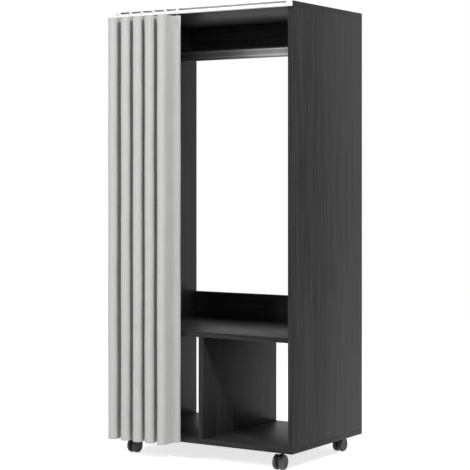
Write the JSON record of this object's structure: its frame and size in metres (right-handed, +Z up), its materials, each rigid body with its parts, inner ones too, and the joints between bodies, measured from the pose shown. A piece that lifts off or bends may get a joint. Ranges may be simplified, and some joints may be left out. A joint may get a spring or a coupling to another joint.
{
  "type": "curtain wardrobe",
  "caption": "Open-backed wardrobe on twin-wheel casters with a clothes rail, a shelf, divided lower compartments and a curtain on gliders in a front track.",
  "frame": {"origin": "on the floor under the middle of the object's outer box, which the gathered curtain reaches 95 mm in front of the carcass", "axes": "+X to the right seen from the front, +Y from the front to the back, +Z up"},
  "size_m": [0.75, 0.595, 1.6],
  "materials": {
    "dark_board": "satin woodgrain foil",
    "rail_metal": "satin",
    "socket_metal": "satin",
    "white_metal": "satin",
    "white_plastic": "satin",
    "curtain_cloth": "woven",
    "fastener_steel": "zinc plated",
    "stem_steel": "black",
    "black_plastic": "moulded",
    "wheel_plastic": "moulded"
  },
  "bodies": {
    "cabinet": {"bottom_panel": "dark_board", "top_panel": "dark_board", "left_side_panel": "dark_board", "right_side_panel": "dark_board", "middle_shelf": "dark_board", "centre_divider": "dark_board", "middle_back_rail": "dark_board", "upper_back_rail": "dark_board", "clothes_rail": "rail_metal", "clothes_rail_socket_left": "socket_metal", "clothes_rail_socket_right": "socket_metal", "curtain_track": "white_metal", "track_end_cap_left": "white_plastic", "track_end_cap_right": "white_plastic", "track_screw_left": "fastener_steel", "track_screw_centre": "fastener_steel", "track_screw_right": "fastener_steel", "curtain_glider_0": "white_plastic", "front_left_insert": "fastener_steel", "front_left_stem": "stem_steel", "front_right_insert": "fastener_steel", "front_right_stem": "stem_steel", "rear_left_insert": "fastener_steel", "rear_left_stem": "stem_steel", "rear_right_insert": "fastener_steel", "rear_right_stem": "stem_steel"},
    "curtain_1": {"curtain_glider_1": "white_plastic", "curtain_fold_1": "curtain_cloth"},
    "curtain_2": {"curtain_glider_2": "white_plastic", "curtain_fold_2": "curtain_cloth"},
    "curtain_3": {"curtain_glider_3": "white_plastic", "curtain_fold_3": "curtain_cloth"},
    "curtain_4": {"curtain_glider_4": "white_plastic", "curtain_fold_4": "curtain_cloth"},
    "curtain_5": {"curtain_glider_5": "white_plastic", "curtain_fold_5": "curtain_cloth"},
    "curtain_6": {"curtain_glider_6": "white_plastic", "curtain_fold_6": "curtain_cloth"},
    "front_left_caster": {"front_left_housing": "black_plastic", "front_left_axle": "fastener_steel"},
    "front_left_wheel_left": {"front_left_wheel_left": "wheel_plastic"},
    "front_left_wheel_right": {"front_left_wheel_right": "wheel_plastic"},
    "front_right_caster": {"front_right_housing": "black_plastic", "front_right_axle": "fastener_steel"},
    "front_right_wheel_left": {"front_right_wheel_left": "wheel_plastic"},
    "front_right_wheel_right": {"front_right_wheel_right": "wheel_plastic"},
    "rear_left_caster": {"rear_left_housing": "black_plastic", "rear_left_axle": "fastener_steel"},
    "rear_left_wheel_left": {"rear_left_wheel_left": "wheel_plastic"},
    "rear_left_wheel_right": {"rear_left_wheel_right": "wheel_plastic"},
    "rear_right_caster": {"rear_right_housing": "black_plastic", "rear_right_axle": "fastener_steel"},
    "rear_right_wheel_left": {"rear_right_wheel_left": "wheel_plastic"},
    "rear_right_wheel_right": {"rear_right_wheel_right": "wheel_plastic"}
  },
  "joints": [
    {"name": "glider_1_slide", "type": "slide", "parent": "cabinet", "child": "curtain_1", "axis": [1, 0, 0], "range_m": [0, 0.0249]},
    {"name": "glider_2_slide", "type": "slide", "parent": "curtain_1", "child": "curtain_2", "axis": [1, 0, 0], "range_m": [0, 0.0828]},
    {"name": "glider_3_slide", "type": "slide", "parent": "curtain_2", "child": "curtain_3", "axis": [1, 0, 0], "range_m": [0, 0.0828]},
    {"name": "glider_4_slide", "type": "slide", "parent": "curtain_3", "child": "curtain_4", "axis": [1, 0, 0], "range_m": [0, 0.0828]},
    {"name": "glider_5_slide", "type": "slide", "parent": "curtain_4", "child": "curtain_5", "axis": [1, 0, 0], "range_m": [0, 0.0828]},
    {"name": "glider_6_slide", "type": "slide", "parent": "curtain_5", "child": "curtain_6", "axis": [1, 0, 0], "range_m": [0, 0.0828]},
    {"name": "front_left_swivel", "type": "hinge", "parent": "cabinet", "child": "front_left_caster", "pos_m": [-0.309, -0.1565, 0.04], "axis": [0, 0, 1], "continuous": true},
    {"name": "front_left_wheel_left_spin", "type": "hinge", "parent": "front_left_caster", "child": "front_left_wheel_left", "pos_m": [-0.309, -0.1725, 0.025], "axis": [1, 0, 0], "continuous": true},
    {"name": "front_left_wheel_right_spin", "type": "hinge", "parent": "front_left_caster", "child": "front_left_wheel_right", "pos_m": [-0.309, -0.1725, 0.025], "axis": [1, 0, 0], "continuous": true},
    {"name": "front_right_swivel", "type": "hinge", "parent": "cabinet", "child": "front_right_caster", "pos_m": [0.309, -0.1565, 0.04], "axis": [0, 0, 1], "continuous": true},
    {"name": "front_right_wheel_left_spin", "type": "hinge", "parent": "front_right_caster", "child": "front_right_wheel_left", "pos_m": [0.309, -0.1725, 0.025], "axis": [1, 0, 0], "continuous": true},
    {"name": "front_right_wheel_right_spin", "type": "hinge", "parent": "front_right_caster", "child": "front_right_wheel_right", "pos_m": [0.309, -0.1725, 0.025], "axis": [1, 0, 0], "continuous": true},
    {"name": "rear_left_swivel", "type": "hinge", "parent": "cabinet", "child": "rear_left_caster", "pos_m": [-0.309, 0.2665, 0.04], "axis": [0, 0, 1], "continuous": true},
    {"name": "rear_left_wheel_left_spin", "type": "hinge", "parent": "rear_left_caster", "child": "rear_left_wheel_left", "pos_m": [-0.309, 0.2505, 0.025], "axis": [1, 0, 0], "continuous": true},
    {"name": "rear_left_wheel_right_spin", "type": "hinge", "parent": "rear_left_caster", "child": "rear_left_wheel_right", "pos_m": [-0.309, 0.2505, 0.025], "axis": [1, 0, 0], "continuous": true},
    {"name": "rear_right_swivel", "type": "hinge", "parent": "cabinet", "child": "rear_right_caster", "pos_m": [0.309, 0.2665, 0.04], "axis": [0, 0, 1], "continuous": true},
    {"name": "rear_right_wheel_left_spin", "type": "hinge", "parent": "rear_right_caster", "child": "rear_right_wheel_left", "pos_m": [0.309, 0.2505, 0.025], "axis": [1, 0, 0], "continuous": true},
    {"name": "rear_right_wheel_right_spin", "type": "hinge", "parent": "rear_right_caster", "child": "rear_right_wheel_right", "pos_m": [0.309, 0.2505, 0.025], "axis": [1, 0, 0], "continuous": true}
  ],
  "couplings": [
    {"joint": "glider_1_slide", "follows": "glider_2_slide", "ratio": 0.3},
    {"joint": "glider_3_slide", "follows": "glider_2_slide", "ratio": 1},
    {"joint": "glider_4_slide", "follows": "glider_2_slide", "ratio": 1},
    {"joint": "glider_5_slide", "follows": "glider_2_slide", "ratio": 1},
    {"joint": "glider_6_slide", "follows": "glider_2_slide", "ratio": 1}
  ]
}
